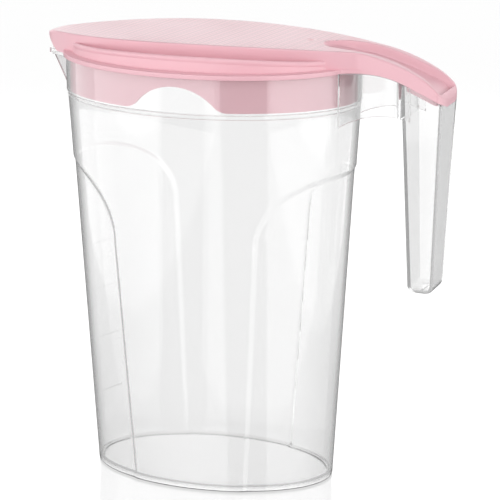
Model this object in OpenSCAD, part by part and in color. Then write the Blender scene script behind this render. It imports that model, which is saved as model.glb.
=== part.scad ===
// Table pitcher: an oval, tapered jug with a hollow hanging handle and a lid that lifts off.
// +X points to the handle, -X to the spout, +Z up; the origin is the middle of the bottom.

/* [Jug] */
// Length of the oval bottom
base_length = 132; // [116:1:140]
// Width of the oval bottom
base_width = 84.6; // [74:0.2:96]
// Length of the oval at the shoulder, just under the collar
shoulder_length = 156.6; // [148:0.2:164]
// Width of the oval at the shoulder
shoulder_width = 112.2; // [100:0.2:120]
// Height of the rim
rim_height = 221.4; // [200:0.2:244]
// Thickness of the jug's and the handle's walls
wall = 1.7; // [1.4:0.1:2.2]
// Thickness of the jug's floor
floor_thickness = 2.2; // [1.6:0.1:4]

/* [Collar] */
// Height of the collar, from the shoulder to the rim
collar_height = 20; // [18:0.2:26]
// How far the collar stands out past the shoulder
collar_step = 0.65; // [0.3:0.05:1.2]
// Height of the slope between shoulder and collar
step_height = 2.2; // [1:0.1:3]
// How far the collar opens out between its foot and the rim
collar_draft = 0.3; // [0:0.1:0.8]

/* [End panels] */
// Depth of the pressed-in panel at each end
panel_depth = 1.1; // [0.6:0.1:1.4]
// Height of the panels' flat top
panel_height = 168; // [140:1:185]
// Height of the round corner at the panels' top
panel_curve = 35; // [20:1:50]
// Distance of the panels' edge from the middle, at the bottom
panel_edge_low = 31; // [22:1:40]
// Distance of the panels' edge from the middle, where the round corner starts
panel_edge_high = 39; // [30:1:50]

/* [Spout] */
// Distance of the spout's tip from the middle
spout_reach = 92.3; // [88:0.1:97]
// Width of the spout where it leaves the collar
spout_width = 24; // [18:1:32]
// Height of the upright lip round the spout's mouth
spout_lip = 3.2; // [2:0.2:5]
// Radius of the spout's tip
spout_radius = 2.6; // [2.3:0.1:3.5]
// How far down the wall the spout's keel starts
spout_drop = 24; // [18:0.5:34]

/* [Handle] */
// Distance of the grip's outer face from the middle, at the rim's height
handle_reach = 127.2; // [122:0.1:134]
// Depth of the grip from inner to outer face, at the rim's height
grip_depth = 22; // [19:0.2:25]
// Width of the grip at the rim's height
grip_width = 29.6; // [27:0.2:32]
// Height of the grip's lower end
grip_bottom = 108.2; // [90:0.2:130]
// Depth of the grip at its lower end
grip_end_depth = 13.4; // [11:0.1:16]
// Width of the grip at its lower end
grip_end_width = 21; // [15:0.2:25]
// Radius of the grip's upright edges
grip_edge = 1.4; // [0.8:0.1:3]
// Radius of the grip's round lower end
grip_round = 4.6; // [3:0.1:4.8]
// Width of the bracket along its straight part
bracket_width = 32; // [29:0.2:36]
// Width of the bracket where it meets the collar
bracket_root_width = 37.6; // [33:0.2:44]
// Depth of the bracket, from the rim to the top of the arch under it
bracket_depth = 21; // [18:0.2:30]
// Radius of the arch under the bracket
arch_radius = 46; // [40:1:70]
// Radius of the bend in the handle's top edge
bend_radius = 52; // [46:1:70]
// Slope, in degrees, at which the bend ends and the top edge runs straight
bend_angle = 24.2; // [18:0.2:30]

/* [Lid] */
// Thickness of the lid's walls
lid_wall = 1.8; // [1.2:0.1:2.2]
// Thickness of the flange on the rim
flange_thickness = 1.8; // [1.2:0.1:2.6]
// How far the flange reaches past the collar
flange_overhang = 1.4; // [0.5:0.1:3]
// Distance of the skirt's lower edge from the collar's foot
skirt_clearance = 0.6; // [0.5:0.1:8]
// Length of the oval wall that stands on the flange
ring_length = 154; // [150:0.5:156]
// Width of the oval wall that stands on the flange
ring_width = 103; // [98:0.5:106]
// Height of the oval wall's lip above the rim, in the middle
lip_height = 9; // [7:0.1:10]
// Width of the oval wall's lip
lip_width = 2.2; // [1.8:0.1:3.5]
// Depth of the trough behind the lip
trough_depth = 2; // [1:0.1:2.6]
// Height of the leaf-shaped top above the rim, in the middle
leaf_height = 13.7; // [12:0.1:15]
// Greatest width of the leaf-shaped top
leaf_width = 75; // [68:0.5:82]
// Distance of the lid's nose from the middle
nose_reach = 92.3; // [90:0.1:94]
// Distance from the middle at which the nose's slope starts
nose_foot = 86.5; // [85:0.1:88]
// Radius of the bell notch in the middle of each side of the skirt
notch_radius = 31.3; // [20:0.1:40]
// Height of the bell notch
notch_height = 12.5; // [6:0.1:14]
// Radius of the bell notch's round feet
notch_foot = 5; // [2:0.2:8]
// Width of the pouring gap in the skirt
pour_width = 20; // [12:1:22]

/* [Tail] */
// Width of the tail over the handle
tail_width = 32.2; // [31:0.1:36]
// How far the tail reaches past the grip's outer face
tail_overhang = 0.3; // [0:0.1:2]
// Radius of the tail's corners, seen from above
tail_corner = 6; // [2:0.2:10]
// Radius of the tail's bend over the handle
tail_radius = 95; // [80:1:120]
// Depth of the thumb channel
channel_depth = 4.4; // [2:0.1:5]
// Width of the thumb channel at its start
channel_width = 24.4; // [18:0.2:26]
// How much narrower the thumb channel is at its waist
channel_waist = 5; // [0:0.2:8]
// Width of the rim beside the thumb channel at the tail's end
channel_rim = 2.4; // [1.8:0.1:4]
// Depth of the tail's plug in the grip
plug_depth = 3.6; // [3:0.2:7]

/* [Fit] */
// Gap between the lid and what it rests on
seat_gap = 0.3; // [0.2:0.05:0.6]
// Gap between the skirt or the plug and the wall round it
skirt_gap = 0.35; // [0.25:0.05:0.8]

/* [Hidden] */
oval_sides = 96;
round_sides = 32;
sliver = 0.01;
beyond = 5;

shoulder_height = rim_height - collar_height;
collar_foot = shoulder_height + step_height;
arch_height = rim_height - bracket_depth;
seat = rim_height + seat_gap;
skirt_depth = seat - collar_foot - skirt_clearance;

// Radii of the long curves in the lid's top
crown_radius = 1200;
lip_crown_radius = 700;
leaf_front_radius = 115;
leaf_back_radius = 210;
// Where the leaf is widest
leaf_middle = -10;
// Size of the round inner corner between leaf and tail
tail_blend = 1.2;
// Length of the tail's bend, and of the flange's wings past the shoulder, beside the tail
tail_length = 50.2;
wing_length = 10.5;
// Thickness of the nose's edge
nose_edge = 1;
// Length of the thumb channel, and of its round start
channel_length = 67.5;
channel_ramp = 15;

// How far past the shoulder's end the middle of the panels' round corners lies
panel_run_out = 2;

// Length of the bracket's flare, and of the bent and sloping part of the handle's top edge
flare_length = 13.7;
bend_length = 40.2;
// Distance of the arch's top from the grip's inner face
arch_offset = 7.2;
// How far the bracket's side walls lap over the grip
bracket_lap = 5.1;
// Least radius of the upright edges inside the grip
inner_edge = 0.4;

grip_inner = handle_reach - grip_depth;
arch_middle = grip_inner - arch_offset;
flare_end = shoulder_length / 2 + flare_length;
bend_start = handle_reach - bend_length;
tail_start = handle_reach - tail_length;
wing_end = shoulder_length / 2 + wing_length;
grip_middle = handle_reach - grip_depth / 2;
bracket_end = grip_inner + bracket_lap;
tail_end = handle_reach + tail_overhang;
channel_start = tail_end - channel_length;
channel_ramp_end = channel_start + channel_ramp;

// Height lost on a circle of that radius, at a distance from its top
function drop(radius, distance) = radius - sqrt(max(0, pow(radius, 2) - pow(distance, 2)));

function part_way(low, high, t) = low + (high - low) * t;

function body_half_length(z) = part_way(base_length, shoulder_length, z / shoulder_height) / 2;
function body_half_width(z) = part_way(base_width, shoulder_width, z / shoulder_height) / 2;

function collar_opening(z) = collar_step + collar_draft * (z - collar_foot) / (rim_height - collar_foot);
function collar_half_length(z) = shoulder_length / 2 + collar_opening(z);
function collar_half_width(z) = shoulder_width / 2 + collar_opening(z);

function bracket_half(x) =
    let (t = max(0, flare_end - x) / flare_length)
    part_way(bracket_width, bracket_root_width, pow(t, 2)) / 2;
function arch_z(x) = arch_height - drop(arch_radius, x - arch_middle);
function handle_top(x) =
    let (run = max(0, x - bend_start), knee = bend_radius * sin(bend_angle))
    rim_height - drop(bend_radius, min(run, knee)) - max(0, run - knee) * tan(bend_angle);

// How far up the grip's taper a height is, and the grip's half width and outer face there
function grip_part(z) = (z - grip_bottom - grip_round) / (rim_height - grip_bottom - grip_round);
function grip_half(z) = part_way(grip_end_width, grip_width, grip_part(z)) / 2;
function grip_outer(z) = part_way(grip_middle + grip_end_depth / 2, handle_reach, grip_part(z));

function lip_z(x) = rim_height + lip_height - drop(lip_crown_radius, x);
function leaf_z(x) =
    rim_height + leaf_height - drop(crown_radius, x) - drop(tail_radius, max(0, x - tail_start));
function lid_low(x) =
    x < -nose_foot
        ? seat + (-nose_foot - x) * (leaf_z(-nose_reach) - nose_edge - seat) / (nose_reach - nose_foot)
        : handle_top(x) + seat_gap;
function leaf_arc(x, radius) = leaf_width / 2 - drop(radius, x - leaf_middle);
function soft_max(a, b, blend) = (a + b + sqrt(pow(a - b, 2) + pow(blend, 2))) / 2;
function leaf_half(x) =
    x < leaf_middle
        ? leaf_arc(x, leaf_front_radius)
        : soft_max(leaf_arc(x, leaf_back_radius), tail_half(x), tail_blend);
// The tail's end has round corners
function tail_half(x) = tail_width / 2 - drop(tail_corner, max(0, x - tail_end + tail_corner));

function channel_start_half(x) =
    channel_width / 2 * sqrt(max(0, 1 - pow((channel_ramp_end - x) / channel_ramp, 2)));
function channel_waist_half(t) =
    part_way(channel_width / 2, tail_width / 2 - channel_rim, t) - channel_waist * (1 - cos(360 * t)) / 4;
function channel_half(x) =
    x < channel_ramp_end
        ? channel_start_half(x)
        : channel_waist_half((x - channel_ramp_end) / (tail_end - channel_ramp_end));
function channel_z(x) =
    leaf_z(x) - channel_depth * min(1, max(0, (x - channel_start) / channel_ramp));

// Even stations from one place to another
function stations(from, to, count) = [for (i = [0 : count]) part_way(from, to, i / count)];

// Solid through a row of upright slices, each given as [x, half width, low z, high z]
module loft(slices) {
    for (i = [0 : len(slices) - 2])
        hull()
            for (s = [slices[i], slices[i + 1]])
                translate([s[0], -s[1], s[2]])
                    cube([sliver, 2 * s[1], s[3] - s[2]]);
}

// Tapered oval between two levels, each given as [half length, half width, z]
module oval_taper(low, high) {
    hull()
        for (level = [[low, 0], [high, sliver]])
            translate([0, 0, level[0][2] - level[1]])
                linear_extrude(sliver)
                    scale([level[0][0], level[0][1]])
                        circle(r = 1, $fn = oval_sides);
}

function body_level(z, inset) = [body_half_length(z) - inset, body_half_width(z) - inset, z];
function collar_level(z, inset) = [collar_half_length(z) - inset, collar_half_width(z) - inset, z];

// The two ends of the body, out past the arched edges of the panels
module panel_zone() {
    far = shoulder_length / 2 + panel_run_out;
    corner = [for (a = [0 : 10 : 90])
        [far - (far - panel_edge_high) * cos(a), panel_height - panel_curve * (1 - sin(a))]];
    outline = concat([[far, -beyond], [panel_edge_low, -beyond], [panel_edge_low, 0]], corner);
    for (side = [0, 1])
        mirror([side, 0, 0])
            rotate([90, 0, 0])
                linear_extrude(2 * shoulder_width, center = true)
                    polygon(outline);
}

// The tapered body with its pressed-in ends, the step and the collar, drawn in by inset
module jug_form(inset, bottom, top) {
    oval_taper(body_level(bottom, inset + panel_depth), body_level(shoulder_height, inset + panel_depth));
    difference() {
        oval_taper(body_level(bottom, inset), body_level(shoulder_height, inset));
        panel_zone();
    }
    oval_taper(body_level(shoulder_height - sliver, inset), collar_level(collar_foot, inset));
    oval_taper(collar_level(collar_foot - sliver, inset), collar_level(rim_height, inset));
    oval_taper(collar_level(rim_height - sliver, inset), collar_level(top, inset));
}

// V-shaped spout: an upright round mouth on a keel that runs down into the wall
module spout_form(top) {
    keel_z = rim_height - spout_drop;
    hull() {
        translate([spout_radius - spout_reach, 0, rim_height - spout_lip])
            cylinder(r = spout_radius, h = spout_lip + top, $fn = round_sides);
        translate([wall - shoulder_length / 2, -spout_width / 2, rim_height - spout_lip])
            cube([sliver, spout_width, spout_lip + top]);
        translate([spout_radius - body_half_length(keel_z), 0, keel_z])
            sphere(r = spout_radius, $fn = round_sides);
    }
}

module jug() {
    // The channel is the spout's own form moved in until its flanks are one wall thick
    flank = atan((spout_width / 2 - spout_radius) / (spout_reach - spout_radius - shoulder_length / 2));
    channel_shift = wall / sin(flank);
    color([0.93, 0.95, 0.96, 0.4])
        difference() {
            union() {
                jug_form(0, 0, rim_height);
                spout_form(0);
            }
            jug_form(wall, floor_thickness, rim_height + beyond);
            translate([channel_shift, 0, 0])
                spout_form(beyond);
        }
}

// Four upright edges of an oblong block, each of that radius
module upright_edges(middle, depth, width, radius, height) {
    for (x = [-1, 1])
        for (side = [-1, 1])
            translate([middle + x * (depth / 2 - radius), side * (width / 2 - radius), 0])
                cylinder(r = radius, h = height, $fn = round_sides);
}

// The hanging grip, drawn in by inset on all sides but the top
module grip_form(inset, top) {
    edge = max(grip_edge - inset, inner_edge);
    round_z = grip_bottom + grip_round;
    hull() {
        translate([0, 0, rim_height])
            upright_edges(grip_middle, grip_depth - 2 * inset, grip_width - 2 * inset, edge, top);
        translate([0, 0, round_z])
            upright_edges(grip_middle, grip_end_depth - 2 * inset, grip_end_width - 2 * inset, edge, sliver);
        for (x = [-1, 1])
            for (side = [-1, 1])
                translate([
                    grip_middle + x * (grip_end_depth / 2 - grip_round),
                    side * (grip_end_width / 2 - grip_round),
                    round_z,
                ])
                    sphere(r = grip_round - inset, $fn = round_sides);
    }
}

module handle() {
    root = shoulder_length / 2 - 2 * wall;
    color([0.93, 0.95, 0.96, 0.4])
        difference() {
            intersection() {
                union() {
                    loft([for (x = stations(root, bracket_end, 10))
                        [x, bracket_half(x), arch_z(x), rim_height + beyond]]);
                    grip_form(0, beyond);
                }
                loft([for (x = stations(root - beyond, handle_reach + beyond, 16))
                    [x, shoulder_width, 0, handle_top(x)]]);
            }
            loft([for (x = stations(root - beyond, grip_inner, 10))
                [x, bracket_half(x) - wall, arch_z(x) - beyond, rim_height + 2 * beyond]]);
            grip_form(wall, 2 * beyond);
            jug_form(0, 0, rim_height + beyond);
        }
}

// Flange on the rim, with a short wing along each side of the tail
module flange() {
    half_length = collar_half_length(rim_height) + flange_overhang;
    half_width = collar_half_width(rim_height) + flange_overhang;
    translate([0, 0, seat])
        linear_extrude(flange_thickness) {
            scale([half_length, half_width])
                circle(r = 1, $fn = oval_sides);
            hull()
                for (x = [0, wing_end])
                    translate([x, 0])
                        square([sliver, tail_width + 2 * flange_overhang], center = true);
        }
}

// Oval prism up from bottom to the lip's long curve, lowered by lower and drawn in by inset
module ring_form(bottom, inset, lower) {
    half_length = ring_length / 2 - inset;
    half_width = ring_width / 2 - inset;
    intersection() {
        oval_taper([half_length, half_width, bottom], [half_length, half_width, rim_height + leaf_height]);
        loft([for (x = stations(-ring_length / 2, ring_length / 2, 16))
            [x, ring_width, bottom, lip_z(x) - lower]]);
    }
}

// Bell notch over the skirt's lower edge, with its feet rounded into that edge
module notch_outline(low) {
    offset(r = -notch_foot)
        offset(r = notch_foot, $fn = oval_sides)
            union() {
                translate([0, low + notch_height - notch_radius])
                    circle(r = notch_radius, $fn = oval_sides);
                translate([-shoulder_length, low - sliver - shoulder_length])
                    square([2 * shoulder_length, shoulder_length]);
            }
}

module skirt() {
    low = seat - skirt_depth;
    outer = wall + skirt_gap;
    inner = outer + lid_wall;
    difference() {
        oval_taper(collar_level(low, outer), collar_level(seat + flange_thickness / 2, outer));
        translate([0, 0, -sliver])
            oval_taper(collar_level(low, inner), collar_level(seat + flange_thickness, inner));
        rotate([90, 0, 0])
            linear_extrude(height = 2 * shoulder_width, center = true)
                notch_outline(low);
        translate([-shoulder_length, -pour_width / 2, low - beyond])
            cube([shoulder_length, pour_width, skirt_depth + beyond - 2 * flange_thickness]);
    }
}

// Plug under the tail's end that seats in the hollow grip
module plug(inset) {
    low = handle_top(tail_end) - plug_depth;
    half = grip_half(low) - wall - skirt_gap - inset;
    from = bracket_end + inset;
    to = grip_outer(low) - wall - skirt_gap - inset;
    loft([for (x = concat(stations(from, to - grip_edge, 6), [to]))
        let (half_here = x < to ? half : half - grip_edge / 2)
        [x, half_here, handle_top(x) - plug_depth - inset, leaf_z(x) - channel_depth]]);
}

module lid() {
    nose_hollow = nose_foot - lid_wall;
    tail_hollow = tail_end - 2 * lid_wall;
    color([0.95, 0.72, 0.77])
        union() {
            difference() {
                union() {
                    flange();
                    ring_form(seat, 0, trough_depth);
                    difference() {
                        ring_form(seat, 0, 0);
                        ring_form(seat - beyond, lip_width, -beyond);
                    }
                    loft([for (x = stations(-nose_reach, tail_end, 60))
                        [x, leaf_half(x), lid_low(x), leaf_z(x)]]);
                }
                ring_form(seat - beyond, lid_wall, trough_depth + lid_wall);
                loft([for (x = stations(-nose_hollow, tail_hollow, 48))
                    let (ceiling = min(leaf_z(x), channel_z(x)) - lid_wall)
                    [x, leaf_half(x) - lid_wall, seat - 3 * beyond, ceiling]]);
                loft([for (x = stations(channel_start + sliver, tail_hollow, 24))
                    [x, channel_half(x), channel_z(x), rim_height + leaf_height + beyond]]);
            }
            skirt();
            difference() {
                plug(0);
                plug(lid_wall);
            }
        }
}

jug();
handle();
lid();
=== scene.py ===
import math

import bpy
import numpy as np
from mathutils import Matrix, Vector


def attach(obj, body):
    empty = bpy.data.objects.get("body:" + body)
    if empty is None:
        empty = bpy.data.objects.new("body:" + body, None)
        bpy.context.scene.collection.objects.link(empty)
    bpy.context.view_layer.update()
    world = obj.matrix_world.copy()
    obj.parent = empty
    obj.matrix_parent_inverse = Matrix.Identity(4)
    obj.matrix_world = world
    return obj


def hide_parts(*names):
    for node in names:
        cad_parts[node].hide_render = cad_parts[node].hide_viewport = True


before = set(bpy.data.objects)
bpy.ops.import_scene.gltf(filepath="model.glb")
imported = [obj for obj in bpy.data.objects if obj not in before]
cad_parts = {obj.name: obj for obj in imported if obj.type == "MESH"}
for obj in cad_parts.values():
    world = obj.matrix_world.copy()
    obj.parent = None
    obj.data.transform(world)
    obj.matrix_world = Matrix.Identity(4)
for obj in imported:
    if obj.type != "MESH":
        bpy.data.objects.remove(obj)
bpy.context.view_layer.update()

# The jug: one clear injection moulding with a wall of the same thickness all over.
# An oval that opens out upwards, a low step, and a short collar that holds the lid.
# Each end has a pressed-in panel with an arched top, and the collar is drawn out into a V spout.
mm = 0.001
wall = 1.7 * mm
round_sides, finer_cuts = 160, 4
base_half = np.array([66, 42.3]) * mm
shoulder_half = np.array([78.3, 56.1]) * mm
shoulder_z, collar_z, rim_z = 201.4 * mm, 203.6 * mm, 221.4 * mm
collar_step, collar_draft = 0.7 * mm, 0.25 * mm
panel_depth, panel_edge_width = 0.8 * mm, 2.4 * mm
panel_low, panel_high, panel_turn_z = 31 * mm, 39 * mm, 133 * mm
panel_far, panel_top_z = 80.3 * mm, 168 * mm
spout_tip, spout_radius, spout_half, spout_root = 92.25 * mm, 2.6 * mm, 12 * mm, 76.6 * mm
spout_lip_z, spout_keel_z, spout_overhang = 218.6 * mm, 193.5 * mm, 2.4 * mm
spout_lip_round, spout_keel_inset, spout_blend = 0.6 * mm, 0.5 * mm, 0.9 * mm
spout_turn, spout_blend_turn = math.radians(25), math.radians(30)


def drop(radius, distance):
    """Height lost on a circle of that radius, at a distance from its top."""
    return radius - np.sqrt(np.maximum(0, radius**2 - distance**2))


def ease(t):
    """0 to 1 with a soft start and a soft end."""
    t = np.clip(t, 0, 1)
    return t * t * (3 - 2 * t)


def soft_max(a, b, blend):
    return (a + b + np.sqrt((a - b) ** 2 + blend**2)) / 2


def jug_half(z):
    """Half length and half width of the jug's outside at a height."""
    z = np.asarray(z, float)
    up = np.clip(z / shoulder_z, 0, 1)
    out = collar_step * np.clip((z - shoulder_z) / (collar_z - shoulder_z), 0, 1)
    out = out + collar_draft * np.clip((z - collar_z) / (rim_z - collar_z), 0, 1.5)
    return [low + (high - low) * up + out for low, high in zip(base_half, shoulder_half)]


def oval(half_length, half_width, z, sides):
    turn = np.arange(sides) * 2 * math.pi / sides
    return np.stack([half_length * np.cos(turn), half_width * np.sin(turn), np.broadcast_to(z, sides)], 1)


def only(piece):
    """Select that piece and nothing else."""
    bpy.ops.object.select_all(action="DESELECT")
    piece.select_set(True)
    bpy.context.view_layer.objects.active = piece


def stack(name, rings):
    """A circle drawn out from outline to outline, with both ends closed."""
    bpy.ops.object.select_all(action="DESELECT")
    bpy.ops.mesh.primitive_circle_add(vertices=len(rings[0]), fill_type="NOTHING")
    piece = bpy.context.object
    piece.name = piece.data.name = name
    bpy.ops.object.mode_set(mode="EDIT")
    bpy.ops.mesh.select_mode(type="VERT")
    bpy.ops.mesh.select_all(action="SELECT")
    for _ in rings[1:]:
        bpy.ops.mesh.extrude_region_move(TRANSFORM_OT_translate={"value": (0, 0, mm)})
    bpy.ops.mesh.edge_face_add()
    bpy.ops.object.mode_set(mode="OBJECT")
    count = len(rings[0])
    place(piece, np.concatenate(rings))
    first = np.arange(len(piece.data.vertices)) < count
    pick(piece, "VERT", first)
    bpy.ops.mesh.edge_face_add()
    bpy.ops.mesh.select_all(action="SELECT")
    bpy.ops.mesh.normals_make_consistent(inside=False)
    bpy.ops.object.mode_set(mode="OBJECT")
    return piece


def place(piece, points):
    piece.data.vertices.foreach_set("co", np.asarray(points, np.float32).ravel())
    piece.data.update()


def points_of(piece):
    flat = np.empty(len(piece.data.vertices) * 3, np.float32)
    piece.data.vertices.foreach_get("co", flat)
    return flat.reshape(-1, 3).astype(float)


def middles_of(piece):
    flat = np.empty(len(piece.data.polygons) * 3, np.float32)
    piece.data.polygons.foreach_get("center", flat)
    return flat.reshape(-1, 3).astype(float)


def pick(piece, kind, chosen):
    """Go to edit mode with the chosen vertices, edges or faces selected."""
    only(piece)
    mesh = piece.data
    groups = {"VERT": mesh.vertices, "EDGE": mesh.edges, "FACE": mesh.polygons}
    bpy.context.tool_settings.mesh_select_mode = [kind == k for k in groups]
    for k, group in groups.items():
        group.foreach_set("select", chosen if k == kind else np.zeros(len(group), bool))
    bpy.ops.object.mode_set(mode="EDIT")


def panel_inside(p):
    """How far a point of the wall lies inside a panel's edge, measured along the wall."""
    x, y, z = np.abs(p[:, 0]), p[:, 1], p[:, 2]
    a, b = jug_half(z)
    along = np.abs(y) / b * a
    across = np.abs(x) / a * b
    lean = along / np.maximum(1e-9, np.hypot(along, across))
    edge = panel_low + (panel_high - panel_low) * z / panel_turn_z
    straight = (x - edge) / np.maximum(0.2, lean)
    u = (panel_far - x) / (panel_far - panel_high)
    v = (z - panel_turn_z) / (panel_top_z - panel_turn_z)
    s = np.maximum(1e-6, np.hypot(u, v))
    slope = np.hypot(u / s / (panel_far - panel_high) * lean, v / s / (panel_top_z - panel_turn_z))
    arch = (1 - s) / np.maximum(1e-6, slope)
    return np.where(z < panel_turn_z, straight, np.where(x > panel_far, panel_top_z - z, arch))


def spout_reach(turn, z):
    """Distance from the jug's axis to the spout's outside, turn being the angle from its middle."""
    t = np.clip((spout_lip_z - z) / (spout_lip_z - spout_keel_z), 0, 1)
    under = spout_overhang * ease((spout_lip_z - z) / spout_lip_round)
    keel = jug_half(spout_keel_z)[0] - spout_radius
    middle = (spout_tip - under - spout_radius) * (1 - t) + keel * t
    root = spout_root * (1 - t) + (keel - spout_keel_inset) * t
    half = (spout_half - 0.6 * under) * (1 - t) + spout_radius * t
    length = np.hypot(middle - root, half)
    lean = np.arctan2(-half, middle - root) + np.arcsin(np.clip(spout_radius / length, 0, 1))
    nx, ny = -np.sin(lean), np.cos(lean)
    flank = (nx * root + ny * half) / np.maximum(1e-6, nx * np.cos(turn) + ny * np.sin(turn))
    touch = np.arctan2(spout_radius * ny, middle + spout_radius * nx)
    inside = np.maximum(0, spout_radius**2 - (middle * np.sin(turn)) ** 2)
    tip = middle * np.cos(turn) + np.sqrt(inside)
    reach = np.where(turn < touch, tip, flank)
    return np.where((z < spout_keel_z) | (turn > spout_turn), 0, reach)


def outside(angle, z):
    """The jug's outer surface at an angle round its oval, with its panels and its spout."""
    a, b = jug_half(z)
    x, y = a * np.cos(angle), b * np.sin(angle)
    nx, ny = np.cos(angle) / a, np.sin(angle) / b
    size = np.hypot(nx, ny)
    step = np.clip(panel_inside(np.stack([x, y, z], 1)) / panel_edge_width + 0.5, 0, 1)
    deep = panel_depth * (0.7 * step + 0.3 * ease(step))
    deep = np.where(z < shoulder_z, deep, 0)
    x, y = x - nx / size * deep, y - ny / size * deep
    reach = np.hypot(x, y)
    turn = np.abs(np.arctan2(y, -x))
    grown = soft_max(reach, spout_reach(turn, z), spout_blend) / reach
    grown = np.where((turn < spout_blend_turn) & (z > spout_keel_z), grown, 1)
    return np.stack([x * grown, y * grown], 1)


def shape_wall(p):
    """Move the plain oval shell to the jug's real outline, each point as deep in the wall as it was."""
    deepest, near_enough, small_turn = 6 * mm, 0.06 * mm, 1e-4
    z = p[:, 2]
    a, b = jug_half(z)
    low, high = np.full(len(p), -mm), np.full(len(p), deepest)
    for _ in range(40):
        deep = (low + high) / 2
        under = np.hypot(p[:, 0] / (a - deep), p[:, 1] / (b - deep)) < 1
        low, high = np.where(under, deep, low), np.where(under, high, deep)
    deep = np.where(np.abs(deep) < near_enough, 0, deep)
    deep = np.where(np.abs(deep - wall) < near_enough, wall, deep)
    angle = np.arctan2(p[:, 1] / (b - deep), p[:, 0] / (a - deep))
    along = outside(angle + small_turn, z) - outside(angle - small_turn, z)
    along /= np.hypot(along[:, 0], along[:, 1])[:, None]
    flat = outside(angle, z) - np.stack([along[:, 1], -along[:, 0]], 1) * deep[:, None]
    return np.column_stack([flat, z])


# Each level is a height and a depth in the wall, both in mm: up the outside, over the rim, down the inside.
rows = [7 * k for k in range(1, 18)] + [122 + 2.6 * k for k in range(19)]
rows += [175, 182, 187, 191, 194, 197.5]
collar_rows = [207, 210, 213, 216, 217.7, 218.2, 218.6, 219.2]
bead = [(-0.35, 0), (-0.15, 0.2), (0.1, 0.2), (0.3, 0)]
step_beads = [(z + up, -out) for z in (201.3, 203.5) for up, out in bead]
rim = [(221.1, 0), (221.32, 0.1), (221.4, 0.3), (221.4, 1.4), (221.32, 1.6), (221.1, 1.7)]
inner_step = [(203.8, 1.7), (203.4, 1.64), (201.6, 1.38), (201.2, 1.4)]
floor_corner = [(4.6, 1.7), (3.9, 1.8), (3.2, 2.15), (2.65, 2.7), (2.3, 3.4), (2.2, 4.2), (2.2, 5.8)]
levels = [(0, 4), (0, 1), (0.15, 0.45), (0.5, 0.1), (1, 0), (4, 0)] + [(z, 0) for z in rows]
levels += step_beads + [(z, 0) for z in collar_rows] + rim
levels += [(z, 1.7) for z in collar_rows[::-1]] + inner_step
levels += [(z, 1.7) for z in rows[::-1]] + floor_corner
jug = stack("clear_jug", [
    oval(*(h - deep * mm for h in jug_half(z * mm)), z * mm, round_sides) for z, deep in levels])
panel_finer, panel_over, floor_reach = 3.4 * mm, 4 * mm, 20 * mm
middle = middles_of(jug)
upright = (middle[:, 2] > 1 * mm) & (middle[:, 2] < panel_top_z + panel_over)
upright &= np.hypot(middle[:, 0], middle[:, 1]) > floor_reach
pick(jug, "FACE", upright & (np.abs(panel_inside(middle)) < panel_finer))
bpy.ops.mesh.subdivide(number_cuts=finer_cuts)
bpy.ops.object.mode_set(mode="OBJECT")
finer_x, finer_y, finer_z = -66 * mm, 19 * mm, 186 * mm
x, y, z = middles_of(jug).T
pick(jug, "FACE", (x < finer_x) & (np.abs(y) < finer_y) & (z > finer_z))
bpy.ops.mesh.subdivide(number_cuts=finer_cuts)
bpy.ops.object.mode_set(mode="OBJECT")
place(jug, shape_wall(points_of(jug)))

# Four short level ticks stand a little proud of the far wall, near the spout.
ribs = []
rib_half, rib_top_half, rib_proud, rib_root = 0.35 * mm, 0.21 * mm, 0.25 * mm, -0.5 * mm
rib_section = [(rib_root, -rib_half), (rib_proud, -rib_top_half)]
rib_section += [(rib_proud, rib_top_half), (rib_root, rib_half)]
rib_ends = 158, 175
for rib_z in (33 * mm, 63 * mm, 90 * mm, 115 * mm):
    rings = []
    for angle in np.radians(np.linspace(*rib_ends, 9)):
        flat = outside(np.array([angle]), np.array([rib_z]))[0]
        out = np.array([math.cos(angle), math.sin(angle)])
        rings.append(np.array([(*(flat + out * far), rib_z + up) for far, up in rib_section]))
    ribs.append(stack("rib", rings))

# The handle: part of the jug's moulding. Two upright plates, arched underneath, spring from the
# collar, and a hollow grip hangs from their ends, open at the top, where the lid plugs in.
arch_top, arch_radius, arch_middle = 200.4 * mm, 46 * mm, 98 * mm
bracket_half_end, bracket_half_root, flare_end = 16 * mm, 18.8 * mm, 92 * mm
bracket_root, bracket_end, bracket_edge = 74.5 * mm, 110.3 * mm, 0.8 * mm
bend_radius, bend_start, bend_angle = 52 * mm, 87 * mm, math.radians(24.2)
grip_top_x, grip_top_half = np.array([105.2, 127.3]) * mm, 14.78 * mm
grip_low_x, grip_low_half, grip_low_z = np.array([109.2, 122.3]) * mm, 10.35 * mm, 108.2 * mm
grip_edge, grip_least_edge, grip_round = 1.2 * mm, 0.4 * mm, 4.6 * mm
grip_straight = 118 * mm, 218 * mm
handle_lip, handle_lip_start, handle_lip_run = 2.2 * mm, 124.4 * mm, 3.1 * mm
above, well_above, well_below, well_aside = 230 * mm, 250 * mm, 180 * mm, 40 * mm
weld = 0.004 * mm


def arch_z(x):
    return arch_top - drop(arch_radius, x - arch_middle)


def handle_top(x):
    run = np.maximum(0, x - bend_start)
    knee = bend_radius * math.sin(bend_angle)
    straight = np.maximum(0, run - knee) * math.tan(bend_angle)
    lip = handle_lip * drop(1, np.clip((x - handle_lip_start) / handle_lip_run, 0, 1))
    return rim_z - drop(bend_radius, np.minimum(run, knee)) - straight - lip


def bracket_half(x):
    flare = np.clip((flare_end - x) / (flare_end - shoulder_half[0]), 0, 1.5) ** 2
    return bracket_half_end + (bracket_half_root - bracket_half_end) * flare


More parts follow.
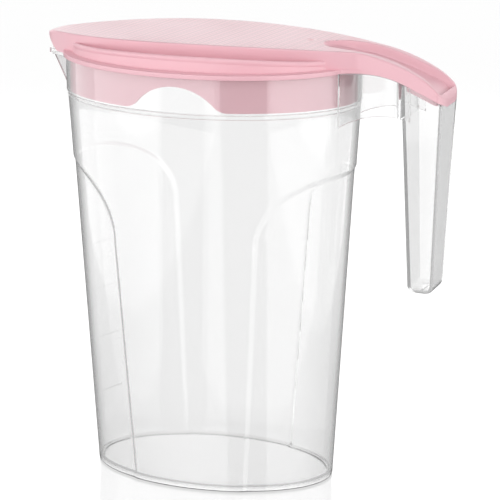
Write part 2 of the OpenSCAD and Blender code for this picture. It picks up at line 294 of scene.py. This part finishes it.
def box_ring(x, half, low, high, radius=0.0, steps=4):
    """Upright oblong across the handle's length, with round lower corners."""
    turn = np.linspace(0, math.pi / 2, steps)
    y = np.concatenate([[half], half - radius + radius * np.cos(turn)])
    z = np.concatenate([[high], low + radius - radius * np.sin(turn)])
    y, z = np.concatenate([y, -y[::-1]]), np.concatenate([z, z[::-1]])
    return np.stack([np.full(len(y), x), y, z], 1)


def oblong(near, far, half, z, radius):
    """Flat oblong with round corners, from near to far along the handle."""
    turn = np.linspace(0, math.pi / 2, 5)
    ring = []
    for k, (x, y) in enumerate([(far, half), (near, half), (near, -half), (far, -half)]):
        x, y = x - math.copysign(radius, x - (near + far) / 2), y - math.copysign(radius, y)
        ring += [(x + radius * math.cos(t), y + radius * math.sin(t), z) for t in turn + k * math.pi / 2]
    return np.array(ring)


def grip_block(name, inset, top):
    """Tapered block with narrow upright edges and a round lower end."""
    radius = grip_round - inset
    turn = np.linspace(0, math.pi / 2, 9)
    levels = [(grip_low_z + grip_round - radius * math.cos(t), inset + radius * (1 - math.sin(t)))
              for t in turn]
    levels += [(z, inset) for z in np.linspace(*grip_straight, 15)] + [(top, inset)]
    rings = []
    for z, deep in levels:
        t = (z - grip_low_z) / (rim_z - grip_low_z)
        near, far = grip_low_x + (grip_top_x - grip_low_x) * t
        half = grip_low_half + (grip_top_half - grip_low_half) * t
        corner = max(grip_edge - inset, grip_least_edge) + 0.3 * (deep - inset)
        rings.append(oblong(near + deep, far - deep, half - deep, z, corner))
    return stack(name, rings)


def cut(piece, tool, operation="DIFFERENCE"):
    """Take the tool's shape from the piece, or join it on, and remove the tool."""
    only(piece)
    step = piece.modifiers.new("cut", "BOOLEAN")
    step.operation = operation
    step.solver = "EXACT"
    step.object = tool
    bpy.ops.object.modifier_apply(modifier=step.name)
    bpy.data.objects.remove(tool)


def smooth(piece):
    """Smooth shading that leaves sharp edges sharp and large flat faces flat."""
    only(piece)
    bpy.ops.object.shade_smooth_by_angle(angle=math.radians(35))
    step = piece.modifiers.new("even", "WEIGHTED_NORMAL")
    step.keep_sharp = True
    bpy.ops.object.modifier_apply(modifier=step.name)


along = np.linspace(bracket_root, bracket_end, 26)
handle = stack("clear_handle", [
    box_ring(x, bracket_half(x), arch_z(x), above, bracket_edge) for x in along])
cut(handle, grip_block("grip", 0, above), "UNION")
channel_far, channel_corner = grip_top_x[0] + 0.2 * mm, 4 * mm
along = np.concatenate([np.linspace(60 * mm, channel_far - channel_corner, 20),
                        channel_far - channel_corner * (1 - np.sin(np.linspace(0.2, math.pi / 2, 9)))])
turned_in = [drop(channel_corner, max(0, x - channel_far + channel_corner)) for x in along]
half = [bracket_half(x) - wall - d for x, d in zip(along, turned_in)]
cut(handle, stack("channel", [box_ring(x, h, well_below, well_above) for x, h in zip(along, half)]))
cut(handle, grip_block("grip_hollow", wall, well_above))
along = np.concatenate([np.linspace(60, 124, 36), np.linspace(124.6, 128, 12), [140]]) * mm
cut(handle, stack("over", [box_ring(x, well_aside, handle_top(x), well_above) for x in along]))
core = [150 * mm, 190 * mm, shoulder_z, collar_z, 215 * mm, above]
cut(handle, stack("core", [oval(*(h - wall / 2 for h in jug_half(z)), z, round_sides) for z in core]))
cut(jug, handle, "UNION")
for rib in ribs:
    cut(jug, rib, "UNION")
pick(jug, "VERT", np.ones(len(jug.data.vertices), bool))
bpy.ops.mesh.remove_doubles(threshold=weld)
bpy.ops.object.mode_set(mode="OBJECT")
smooth(jug)


def add(tree, kind, inputs=None, **settings):
    """A new node with its settings, and its inputs given as values or as links."""
    node = tree.nodes.new(kind)
    for name, value in settings.items():
        setattr(node, name, value)
    for key, value in (inputs or {}).items():
        if isinstance(value, bpy.types.NodeSocket):
            tree.links.new(value, node.inputs[key])
        else:
            node.inputs[key].default_value = value
    return node


def calc(tree, operation, *values):
    return add(tree, "ShaderNodeMath", dict(enumerate(values)), operation=operation).outputs["Value"]


def fade(tree, value, low, high, at_low=0.0, at_high=1.0):
    """From one level to another between two values, softly at both ends."""
    limits = {"Value": value, "From Min": low, "From Max": high, "To Min": at_low, "To Max": at_high}
    return add(tree, "ShaderNodeMapRange", limits, interpolation_type="SMOOTHSTEP").outputs["Result"]


moulding = bpy.data.node_groups.new("moulding", "ShaderNodeTree")
sockets = [("Roughness", "INPUT"), ("Spread", "INPUT")]
sockets += [("Roughness", "OUTPUT"), ("Tone", "OUTPUT"), ("Ripple", "OUTPUT")]
for name, way in sockets:
    moulding.interface.new_socket(name, in_out=way, socket_type="NodeSocketFloat")
given = add(moulding, "NodeGroupInput")
spot = add(moulding, "ShaderNodeTexCoord").outputs["Object"]
cloud = add(moulding, "ShaderNodeTexNoise", {"Vector": spot, "Scale": 40, "Detail": 3}).outputs["Fac"]
wave = add(moulding, "ShaderNodeTexNoise", {"Vector": spot, "Scale": 22, "Detail": 1}).outputs["Fac"]
swing = calc(moulding, "SUBTRACT", cloud, 0.5)
uneven = calc(moulding, "MULTIPLY_ADD", swing, given.outputs["Spread"], given.outputs["Roughness"])
add(moulding, "NodeGroupOutput", {"Roughness": uneven, "Tone": cloud, "Ripple": wave})

clear = bpy.data.materials.new("clear_plastic")
clear.use_nodes = True
tree = clear.node_tree
skin = add(tree, "ShaderNodeGroup", {"Roughness": 0.05, "Spread": 0.04}, node_tree=moulding).outputs
clear_low, clear_high = (0.975, 0.975, 0.975, 1), (0.99, 0.99, 0.99, 1)
tint = add(tree, "ShaderNodeMix", {0: skin["Tone"], 6: clear_low, 7: clear_high}, data_type="RGBA")
shader = tree.nodes["Principled BSDF"]
shader.inputs["IOR"].default_value = 1.56
shader.inputs["Transmission Weight"].default_value = 0.98
ripple = add(tree, "ShaderNodeBump", {"Height": skin["Ripple"], "Strength": 0.03, "Distance": 0.5 * mm})
tree.links.new(tint.outputs[2], shader.inputs["Base Color"])
tree.links.new(skin["Roughness"], shader.inputs["Roughness"])
tree.links.new(ripple.outputs["Normal"], shader.inputs["Normal"])
path = add(tree, "ShaderNodeLightPath").outputs
lit = calc(tree, "MAXIMUM", path["Is Shadow Ray"], path["Is Diffuse Ray"])
bounces = [calc(tree, "GREATER_THAN", path[way], 0.5) for way in ("Glossy Depth", "Transmission Depth")]
trapped = calc(tree, "MULTIPLY", *bounces)
passing = add(tree, "ShaderNodeBsdfTransparent", {"Color": (0.985, 0.985, 0.985, 1)}).outputs["BSDF"]
freely = calc(tree, "MAXIMUM", lit, trapped)
mix = add(tree, "ShaderNodeMixShader", {0: freely, 1: shader.outputs["BSDF"], 2: passing})
haze = add(tree, "ShaderNodeVolumeAbsorption", {"Color": (0.3, 0.3, 0.3, 1), "Density": 54})
tree.links.new(mix.outputs["Shader"], tree.nodes["Material Output"].inputs["Surface"])
tree.links.new(haze.outputs["Volume"], tree.nodes["Material Output"].inputs["Volume"])
jug.data.materials.clear()
jug.data.materials.append(clear)
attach(jug, "jug")
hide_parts("jug", "handle")

# The lid: one soft pink moulding that pushes into the collar. A flange rests on the rim, a low oval
# wall with a lip stands on it, and a leaf-shaped top runs from the nose over the spout to the
# tail, which has a thumb channel, covers the top of the handle and plugs into the grip.
lid_wall = 1.8 * mm
seat_z = 221.7 * mm
flange_half, flange_top_z = np.array([80.65, 58.45]) * mm, 223.8 * mm
wing_root, wing_start, wing_end = 40 * mm, 75.5 * mm, 89.5 * mm
wing_flare, wing_past, wing_edge, wing_slip = 4 * mm, 0.1 * mm, 0.4 * mm, 0.02 * mm
ring_half = np.array([77, 51.5]) * mm
lip_z_middle, lip_crown_front, lip_crown_back = 231.3 * mm, 1000 * mm, 720 * mm
leaf_z_middle, leaf_crown, leaf_wide, leaf_middle = 235.1 * mm, 1200 * mm, 37.5 * mm, -10 * mm
leaf_front, leaf_back = 115 * mm, 210 * mm
nose_tip, nose_foot, nose_round, nose_edge = -92.3 * mm, -84.5 * mm, 5 * mm, 2.6 * mm
tail_half_width, tail_end, tail_round = 16.1 * mm, 127.5 * mm, 9 * mm
tail_start, tail_bend, tail_end_run, end_dip = 77 * mm, 95 * mm, 3 * mm, 2.2 * mm
tail_fall, tail_fall_start = 26 * mm, 116.5 * mm
nose_dip, leaf_blend, edge_round, edge_least = 1.5 * mm, 1.2 * mm, 1.0 * mm, 0.8 * mm
channel_start, channel_ramp, channel_depth = 60 * mm, 15 * mm, 4.4 * mm
channel_wide, channel_end_half, channel_waist = 12.2 * mm, 13.7 * mm, 5 * mm
channel_stop, channel_wall = 126.0 * mm, 2.2 * mm
channel_rise_start, channel_rise_run, channel_rise = 112 * mm, 10 * mm, 0.2
trough_depth, hollow_depth, tail_wall = 3 * mm, 4.8 * mm, 3.6 * mm
wall_foot_z, hollow_foot_z, leaf_hollow_z = 222.6 * mm, 215 * mm, 200 * mm


def lip_z(x):
    return lip_z_middle - np.where(x < 0, drop(lip_crown_front, x), drop(lip_crown_back, x))


def leaf_z(x):
    down = drop(leaf_crown, x) + drop(tail_bend, np.maximum(0, x - tail_start))
    down = down + drop(tail_fall, np.maximum(0, x - tail_fall_start))
    return leaf_z_middle - down


def tail_half(x):
    return tail_half_width - tail_round * drop(1, np.clip((x - tail_end) / tail_end_run + 1, 0, 1))


def leaf_half(x):
    front = leaf_wide - drop(leaf_front, x - leaf_middle)
    front = front - drop(nose_round, np.clip(nose_tip + nose_round - x, 0, nose_round)) * 0.5
    back = soft_max(leaf_wide - drop(leaf_back, x - leaf_middle), tail_half(x), leaf_blend)
    return np.where(x < leaf_middle, front, back)


def lid_low(x):
    rise = (leaf_z(nose_tip) - nose_edge - seat_z) * (nose_foot - x) / (nose_foot - nose_tip)
    return np.where(x < nose_foot, seat_z + rise, handle_top(x) + 0.3 * mm)


def channel_half(x):
    t = np.clip((x - channel_start - channel_ramp) / (tail_end - channel_start - channel_ramp), 0, 1)
    waist = channel_waist * (1 - np.cos(2 * math.pi * t)) / 4
    start = np.clip((channel_start + channel_ramp - x) / channel_ramp, 0, 1)
    half = channel_wide + (channel_end_half - channel_wide) * t - waist
    return half * np.sqrt(np.maximum(0, 1 - start**2))


def channel_deep(x, y):
    """Depth of the thumb channel under the leaf's surface."""
    half = channel_half(x)
    side = half - np.abs(y)
    u = np.clip((channel_start + channel_ramp - x) / channel_ramp, 0, 2)
    v = np.abs(y) / channel_wide
    s = np.maximum(1e-6, np.hypot(u, v))
    slope = np.hypot(u / s / channel_ramp, v / s / channel_wide)
    start = (1 - s) / np.maximum(1e-6, slope)
    inside = np.where(x < channel_start + channel_ramp, start, np.minimum(side, channel_stop - x))
    floor = channel_depth * (0.5 + 0.5 * ease((x - channel_start) / (1.4 * channel_ramp)))
    floor = floor * (1 - channel_rise * ease((x - channel_rise_start) / channel_rise_run))
    return floor * ease(inside / channel_wall)


def leaf_ring(x):
    """Section across the leaf: low edge, wall, round top edge, rim and thumb channel."""
    half, top, low = float(leaf_half(x)), float(leaf_z(x)), float(lid_low(x))
    nose = float(np.clip((nose_foot - x) / (nose_foot - nose_tip), 0, 1))
    end = float(np.clip((x - tail_end + tail_end_run) / tail_end_run, 0, 1))
    top = top - nose_dip * nose**2.5 - end_dip * float(drop(1, end))
    low = min(low, top - edge_least)
    radius = min(edge_round * (1 + 1.2 * nose + 0.8 * end), 0.48 * (top - low), 0.6 * half)
    turn = np.linspace(0, math.pi / 2, 6)
    rim = half - radius
    inner = min(max(0.3 * rim, float(channel_half(x))), rim - 0.1 * mm)
    foot = max(0.4 * inner, inner - channel_wall)
    spans = ((rim, inner, 6), (inner, foot, 9), (foot, 0, 6))
    flat = np.concatenate([np.linspace(*span)[1:] for span in spans])
    z_flat = top - channel_deep(np.full(len(flat), x), flat)
    y = np.concatenate([[half, half], rim + radius * np.cos(turn)[1:], flat])
    z = np.concatenate([[low, top - radius], top - radius + radius * np.sin(turn)[1:], z_flat])
    y, z = np.concatenate([y, -y[-2::-1]]), np.concatenate([z, z[-2::-1]])
    return np.stack([np.full(len(y), x), y, z], 1)


stations = np.concatenate([
    nose_tip + np.array([0, 0.15, 0.4, 0.8, 1.4, 2.2, 3.2, 4.4]) * mm,
    np.linspace(-86.5, 54, 52) * mm,
    np.linspace(56, 78, 38) * mm,
    np.linspace(79, 122, 40) * mm,
    tail_end - np.array([4.6, 3.8, 3.1, 2.5, 1.9, 1.4, 1.0, 0.7, 0.4, 0.2, 0.06, 0]) * mm,
])
lid = stack("pink_lid", [leaf_ring(x) for x in stations])


def ring_level(inset, down):
    """Outline of the oval wall, drawn in, at a depth under the lip's long curve."""
    ring = oval(*(ring_half - inset), 0, round_sides)
    ring[:, 2] = lip_z(ring[:, 0]) - down
    return ring


def flat_level(half, z):
    return oval(*half, z, round_sides)


# The lip's section in mm: how far in from the wall, and how far under the lip's top.
lip = [(0.8, 2.9), (0.74, 2.5), (0.6, 2.0), (0.55, 1.5), (0.6, 0.95), (0.8, 0.45), (1.1, 0.12)]
lip += [(1.5, 0), (2.0, 0.1), (2.45, 0.45), (2.65, 1.2), (2.8, 2.2), (3.2, 2.8), (4.2, 3)]
rings = [flat_level(ring_half, wall_foot_z)] + [ring_level(i * mm, d * mm) for i, d in lip]
rings += [ring_level(i * mm, trough_depth) for i in (12, 25, 38, 49)]
cut(lid, stack("oval_wall", rings), "UNION")

under_rim = 219 * mm
edge = [(0.5, -0.4), (0.12, -0.28), (0, 0.1), (0, 1.6), (0.12, 1.98), (0.5, 2.1)]
flange = stack("flange", [flat_level(flange_half - i * mm, seat_z + up * mm) for i, up in edge])
cut(flange, stack("rim_seat", [flat_level(flange_half - mm, z) for z in (under_rim, seat_z)]))
for near, far, half in ((-95, -50, 19), (50, 95, 24)):
    cut(flange, stack("gap", [box_ring(x * mm, half * mm, under_rim, seat_z) for x in (near, far)]))


def wing_half(x):
    t = (wing_end - np.maximum(x, wing_start)) / (wing_end - wing_start)
    return tail_half_width + wing_past + wing_flare * t**2


along = np.concatenate([[wing_root], np.linspace(wing_start, wing_end, 18)])
low, high = seat_z + wing_slip, flange_top_z - wing_slip
cut(flange, stack("wing", [box_ring(x, wing_half(x), low, high, wing_edge) for x in along]), "UNION")
cut(lid, flange, "UNION")

rings = [flat_level(ring_half - lid_wall, hollow_foot_z)]
rings += [ring_level(lid_wall + i * mm, hollow_depth) for i in (0, 12, 25, 38, 46)]
cut(lid, stack("hollow", rings))


def hollow_ring(x):
    half = float(leaf_half(x)) - lid_wall
    top = float(leaf_z(x) - channel_deep(np.array([x]), np.array([0.0]))[0]) - lid_wall
    return box_ring(x, half, top, leaf_hollow_z, 0.0, 2)


inside = np.linspace(nose_foot + lid_wall, tail_end - tail_wall, 90)
cut(lid, stack("leaf_hollow", [hollow_ring(x) for x in inside]))

skirt_low, skirt_high, skirt_gap = 204.2 * mm, 222.5 * mm, 0.35 * mm


def skirt_level(inset, z):
    return oval(*(h - wall - skirt_gap - inset for h in jug_half(z)), z, round_sides)


skirt = stack("skirt", [skirt_level(0, z) for z in (skirt_low, 206 * mm, 215 * mm, skirt_high)])
cut(skirt, stack("skirt_inside", [skirt_level(lid_wall, z * mm) for z in (200, 205, 215, 226)]))
notch_radius, notch_top, notch_foot = 27 * mm, 216.6 * mm, 9.5 * mm
notch_low, notch_reach, notch_slip = 195 * mm, 80 * mm, 0.01 * mm
notch_middle = notch_top - notch_radius
reach = math.sqrt((notch_radius + notch_foot) ** 2 - (skirt_low + notch_foot - notch_middle) ** 2)
start = math.atan2(skirt_low + notch_foot - notch_middle, reach)
arc = np.linspace(start, math.pi - start, 33)
outline = [(notch_radius * math.cos(t), notch_middle + notch_radius * math.sin(t)) for t in arc]
foot_turn = np.linspace(-math.pi / 2, -math.pi + start, 9)
right = [(reach + notch_foot * math.cos(t), skirt_low + notch_foot + notch_foot * math.sin(t))
         for t in foot_turn]
left = [(-x, z) for x, z in right[::-1]]
outline = right[:-1] + outline + left[1:]
last = len(outline) - 1
outline = [(x, z if 0 < k < last else z - notch_slip) for k, (x, z) in enumerate(outline)]
outline += [(-reach, notch_low), (reach, notch_low)]
rings = [np.array([(x, y, z) for x, z in outline]) for y in (-notch_reach, notch_reach)]
cut(skirt, stack("notch", rings))
cut(lid, skirt, "UNION")

plug_depth, plug_half, plug_wall, plug_corner = 3.0 * mm, 11.9 * mm, 1.5 * mm, 3 * mm
plug_root, plug_past = 5 * mm, 5 * mm
plug_x = np.linspace(108, 124.1, 15) * mm


def plug_ring(x, inset, low):
    corner = float(drop(plug_corner, np.maximum(0, x - plug_x[-1] + inset + plug_corner)))
    foot, top = float(handle_top(x)) - low, float(leaf_z(x)) - plug_root
    return box_ring(x, plug_half - inset - corner, foot, top, 0.0, 2)


plug = stack("plug", [plug_ring(x, 0, plug_depth) for x in plug_x])
inside_x = np.linspace(plug_x[0] + plug_wall, plug_x[-1] - plug_wall, 12)
cut(plug, stack("plug_inside", [plug_ring(x, plug_wall, plug_depth + plug_past) for x in inside_x]))
cut(lid, plug, "UNION")

gate, gate_sides = np.array([52.9, 2, 0]) * mm, 40
gate_z = float(leaf_z(gate[0]))
dish = [(2.7, 0.3), (2.45, 0), (2.3, -0.07), (1.9, -0.12), (1.25, -0.14), (1.15, -0.5), (0.6, -0.55)]
cut(lid, stack("gate_mark", [oval(r * mm, r * mm, gate_z + up * mm, gate_sides) + gate for r, up in dish]))
smooth(lid)

pink = bpy.data.materials.new("pink_plastic")
pink.use_nodes = True
tree = pink.node_tree
skin = add(tree, "ShaderNodeGroup", {"Roughness": 0.35, "Spread": 0.12}, node_tree=moulding).outputs
spot = add(tree, "ShaderNodeTexCoord").outputs["Object"]
x, y, z = add(tree, "ShaderNodeSeparateXYZ", {"Vector": spot}).outputs


def inside_arc(radius):
    """How far a point lies inside the leaf's outline of that radius."""
    along = calc(tree, "SUBTRACT", x, leaf_middle)
    across = calc(tree, "ADD", calc(tree, "ABSOLUTE", y), radius - leaf_wide)
    flat = add(tree, "ShaderNodeCombineXYZ", {0: along, 1: across}).outputs["Vector"]
    away = add(tree, "ShaderNodeVectorMath", {0: flat}, operation="LENGTH").outputs["Value"]
    return calc(tree, "SUBTRACT", radius, away)


def line_family(per_x, per_y, width):
    """Fine parallel grooves, given as counts per metre along and across the leaf."""
    turns = calc(tree, "MULTIPLY_ADD", x, per_x, calc(tree, "MULTIPLY", y, per_y))
    return fade(tree, calc(tree, "PINGPONG", turns, 0.5), 0, width, 1, 0)


front, rear = inside_arc(leaf_front), inside_arc(leaf_back)
behind = calc(tree, "GREATER_THAN", x, leaf_middle)
inside = calc(tree, "MULTIPLY_ADD", calc(tree, "SUBTRACT", rear, front), behind, front)
crown = calc(tree, "MULTIPLY_ADD", calc(tree, "MULTIPLY", x, x), 0.5 / leaf_crown, z)
top = fade(tree, crown, leaf_z_middle - 0.5 * mm, leaf_z_middle - 0.2 * mm)
patch = calc(tree, "MULTIPLY", top, fade(tree, inside, 0.9 * mm, 1.4 * mm))
patch = calc(tree, "MULTIPLY", patch, fade(tree, x, 64 * mm, 69 * mm, 1, 0))
faint = calc(tree, "MULTIPLY", line_family(257, -278, 0.2), 0.4)
slant = calc(tree, "MAXIMUM", line_family(257, 278, 0.2), faint)
lines = calc(tree, "MAXIMUM", line_family(236, -20, 0.16), slant)
gate_spot = (gate[0], gate[1], gate_z)
from_gate = add(tree, "ShaderNodeVectorMath", {0: spot, 1: gate_spot}, operation="DISTANCE")
halo = fade(tree, from_gate.outputs["Value"], 2.3 * mm, 2.8 * mm, 1, 0)
lines = calc(tree, "MULTIPLY", lines, calc(tree, "SUBTRACT", patch, halo))
# A thin line of painted shade runs just inside the textured patch's border.
from_border = calc(tree, "ABSOLUTE", calc(tree, "SUBTRACT", inside, 0.75 * mm))
border_shade_line = calc(tree, "MULTIPLY", fade(tree, from_border, 0.1 * mm, 0.4 * mm, 1, 0), top)
pink_light, pink_deep = (0.79, 0.455, 0.51, 1), (0.78, 0.445, 0.5, 1)
pink_pale_sheen, pink_groove_shade = (1, 0.76, 0.78, 1), (0.5, 0.36, 0.38, 1)
body = add(tree, "ShaderNodeMix", {0: skin["Tone"], 6: pink_light, 7: pink_deep}, data_type="RGBA")
# Painted sheen: the textured top is mixed towards a pale pink, and the gate mark's disc further still.
sheen_and_gate_paling = calc(tree, "MULTIPLY_ADD", halo, 0.4, calc(tree, "MULTIPLY", patch, 0.18))
sheened_body = add(tree, "ShaderNodeMix", {0: sheen_and_gate_paling, 6: body.outputs[2], 7: pink_pale_sheen}, data_type="RGBA")
# Painted shade: the hatch's grooves and the border line are darkened towards a grey pink, on top of their
# real bump.
painted_groove_shade = calc(tree, "MAXIMUM", calc(tree, "MULTIPLY", lines, 0.55), calc(tree, "MULTIPLY", border_shade_line, 0.4))
colour = add(tree, "ShaderNodeMix", {0: painted_groove_shade, 6: sheened_body.outputs[2], 7: pink_groove_shade}, data_type="RGBA")
deep = calc(tree, "MULTIPLY", lines, -1)
groove = add(tree, "ShaderNodeBump", {"Height": deep, "Strength": 0.4, "Distance": 0.15 * mm})
shader = tree.nodes["Principled BSDF"]
shader.inputs["IOR"].default_value = 1.62
tree.links.new(colour.outputs[2], shader.inputs["Base Color"])
tree.links.new(skin["Roughness"], shader.inputs["Roughness"])
tree.links.new(groove.outputs["Normal"], shader.inputs["Normal"])
lid.data.materials.clear()
lid.data.materials.append(pink)
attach(lid, "lid")
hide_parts("lid")

# The stage: a pale floor, white to the camera, that keeps a soft shadow and, seen from low down,
# a faint mirror image. Round it stand a bright studio and four softboxes.
bpy.ops.object.select_all(action="DESELECT")
bpy.ops.mesh.primitive_plane_add(size=8)
floor = bpy.context.object
floor.name = "floor"
floor.location.z = -0.3 * mm
floor.visible_glossy = False
paper = bpy.data.materials.new("white_floor")
paper.use_nodes = True
tree = paper.node_tree
shader = tree.nodes["Principled BSDF"]
shader.inputs["Base Color"].default_value = (0.6, 0.6, 0.6, 1)
shader.inputs["Roughness"].default_value = 0.25
path = add(tree, "ShaderNodeLightPath").outputs
edge_on = add(tree, "ShaderNodeFresnel", {"IOR": 1.5}).outputs[0]
steep = calc(tree, "MULTIPLY", 13, calc(tree, "MULTIPLY", edge_on, edge_on))
sheen = calc(tree, "MINIMUM", 0.35, steep)
gloss = calc(tree, "MULTIPLY", path["Is Camera Ray"], sheen)
paler = calc(tree, "MULTIPLY", gloss, 0.17)
glow = add(tree, "ShaderNodeEmission", {"Strength": calc(tree, "SUBTRACT", 1.05, paler)})
seen = calc(tree, "MAXIMUM", path["Is Camera Ray"], path["Is Transmission Ray"])
bright = calc(tree, "MULTIPLY", seen, 0.85)
mix = add(tree, "ShaderNodeMixShader", {0: bright, 1: shader.outputs["BSDF"], 2: glow.outputs["Emission"]})
polish = {"Base Color": (1, 1, 1, 1), "Metallic": 1, "Roughness": 0.08}
mirror = add(tree, "ShaderNodeBsdfPrincipled", polish)
mix = add(tree, "ShaderNodeMixShader", {0: gloss, 1: mix.outputs["Shader"], 2: mirror.outputs["BSDF"]})
tree.links.new(mix.outputs["Shader"], tree.nodes["Material Output"].inputs["Surface"])
floor.data.materials.append(paper)

world = bpy.data.worlds.new("studio")
bpy.context.scene.world = world
world.use_nodes = True
tree = world.node_tree
toward = add(tree, "ShaderNodeTexCoord").outputs["Generated"]
height = add(tree, "ShaderNodeSeparateXYZ", {"Vector": toward}).outputs["Z"]
sky = fade(tree, height, 0.1, 0.8, 1.1, 0.3)
front = (0.35, -0.94, 0)
facing = add(tree, "ShaderNodeVectorMath", {0: toward, 1: front}, operation="DOT_PRODUCT").outputs["Value"]
level = calc(tree, "SQRT", calc(tree, "SUBTRACT", 1.0001, calc(tree, "MULTIPLY", height, height)))
facing = calc(tree, "DIVIDE", facing, level)
behind, ahead = fade(tree, facing, -0.9, -0.55, 0.1, 1.4), fade(tree, facing, 0.96, 0.975, 1, 0.2)
sides = calc(tree, "MULTIPLY", behind, ahead)
low = fade(tree, facing, 0, 0.8, 0.3, 1.3)
sides = calc(tree, "MULTIPLY", sides, fade(tree, height, -0.38, -0.3, low, 1))
strength = add(tree, "ShaderNodeMix", {0: fade(tree, height, -0.1, 0.1), 2: sides, 3: sky}).outputs[0]
path = add(tree, "ShaderNodeLightPath").outputs
entered = calc(tree, "GREATER_THAN", path["Transmission Depth"], 0.5)
trapped = calc(tree, "MULTIPLY", path["Is Glossy Ray"], entered)
guided = fade(tree, height, 0, 0.1, 0.7, fade(tree, height, 0.25, 0.5, 1.4, 0.3))
strength = add(tree, "ShaderNodeMix", {0: trapped, 2: strength, 3: guided}).outputs[0]
through = calc(tree, "MULTIPLY", path["Is Transmission Ray"], fade(tree, height, 0.03, 0.35, 1, 0.35))
seen = calc(tree, "MAXIMUM", path["Is Camera Ray"], through)
room = tree.nodes["Background"]
room.inputs["Color"].default_value = (1, 1, 1, 1)
tree.links.new(strength, room.inputs["Strength"])
white = add(tree, "ShaderNodeBackground", {"Color": (1, 1, 1, 1)}).outputs["Background"]
mix = add(tree, "ShaderNodeMixShader", {0: seen, 1: room.outputs["Background"], 2: white})
tree.links.new(mix.outputs["Shader"], tree.nodes["World Output"].inputs["Surface"])

azimuth, elevation = math.radians(20.33), math.radians(15.05)
right = Vector((math.cos(azimuth), math.sin(azimuth), 0))
ahead = Vector((math.sin(azimuth), -math.cos(azimuth), 0))
back = ahead * math.cos(elevation) + Vector((0, 0, math.sin(elevation)))
target, camera_distance = right * 0.01891 + Vector((0, 0, 0.11876)), 1.3164
aim = Vector((0, 0, 0.12))


def softbox(name, side, away, height, width, tall, power):
    """A wide studio lamp at an angle to the camera's side, turned to the pitcher."""
    angle = azimuth + math.radians(side)
    spot = Vector((math.sin(angle) * away, -math.cos(angle) * away, height))
    lamp = bpy.data.lights.new(name, "AREA")
    lamp.shape = "RECTANGLE"
    lamp.size, lamp.size_y = width, tall
    lamp.energy = power
    ob = bpy.data.objects.new(name, lamp)
    bpy.context.scene.collection.objects.link(ob)
    ob.location = spot
    ob.rotation_euler = (spot - aim).to_track_quat("Z", "Y").to_euler()
    ob.visible_camera = False
    ob.visible_transmission = False


softbox("left_softbox", -57, 1.6, 0.245, 2.98, 1.21, 14.2)
softbox("right_softbox", 57, 1.6, 0.245, 2.98, 1.21, 15.0)
softbox("top_softbox", -15, 0.7, 1.5, 1.2, 1.2, 7)
softbox("back_softbox", 180, 1.6, 0.55, 2.2, 0.8, 4.5)

view = bpy.data.cameras.new("camera")
view.lens = 180
view.sensor_width = 36
camera = bpy.data.objects.new("camera", view)
bpy.context.scene.collection.objects.link(camera)
camera.location = target + back * camera_distance
camera.rotation_euler = back.to_track_quat("Z", "Y").to_euler()
bpy.context.scene.camera = camera
bpy.context.scene.view_settings.view_transform = "Standard"
